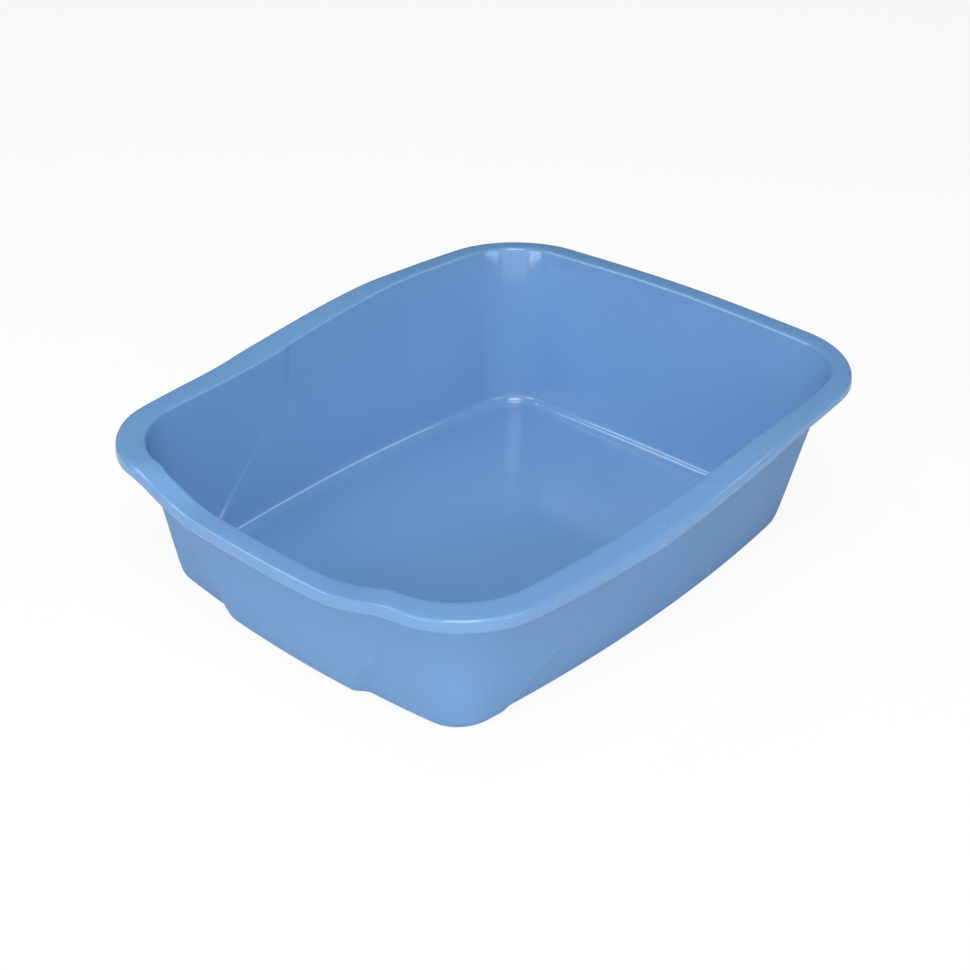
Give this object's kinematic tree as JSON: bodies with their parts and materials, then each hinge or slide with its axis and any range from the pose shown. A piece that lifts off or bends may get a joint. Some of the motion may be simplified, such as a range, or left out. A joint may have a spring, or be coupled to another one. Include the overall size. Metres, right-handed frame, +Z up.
{
  "type": "litter pan",
  "caption": "Wide open pan moulded in one piece, with leaning walls, a flanged and skirted rim, a low entry on one short side and a higher back.",
  "frame": {"origin": "on the ground, under the middle of the pan's length and width", "axes": "+X towards the high back, -X towards the low entry, +Y across the pan, +Z up"},
  "size_m": [0.54, 0.4674, 0.155],
  "materials": {
    "blue_plastic": "smooth, glossy, moulded polypropylene"
  },
  "bodies": {
    "root": {"pan_shell": "blue_plastic"}
  },
  "joints": []
}
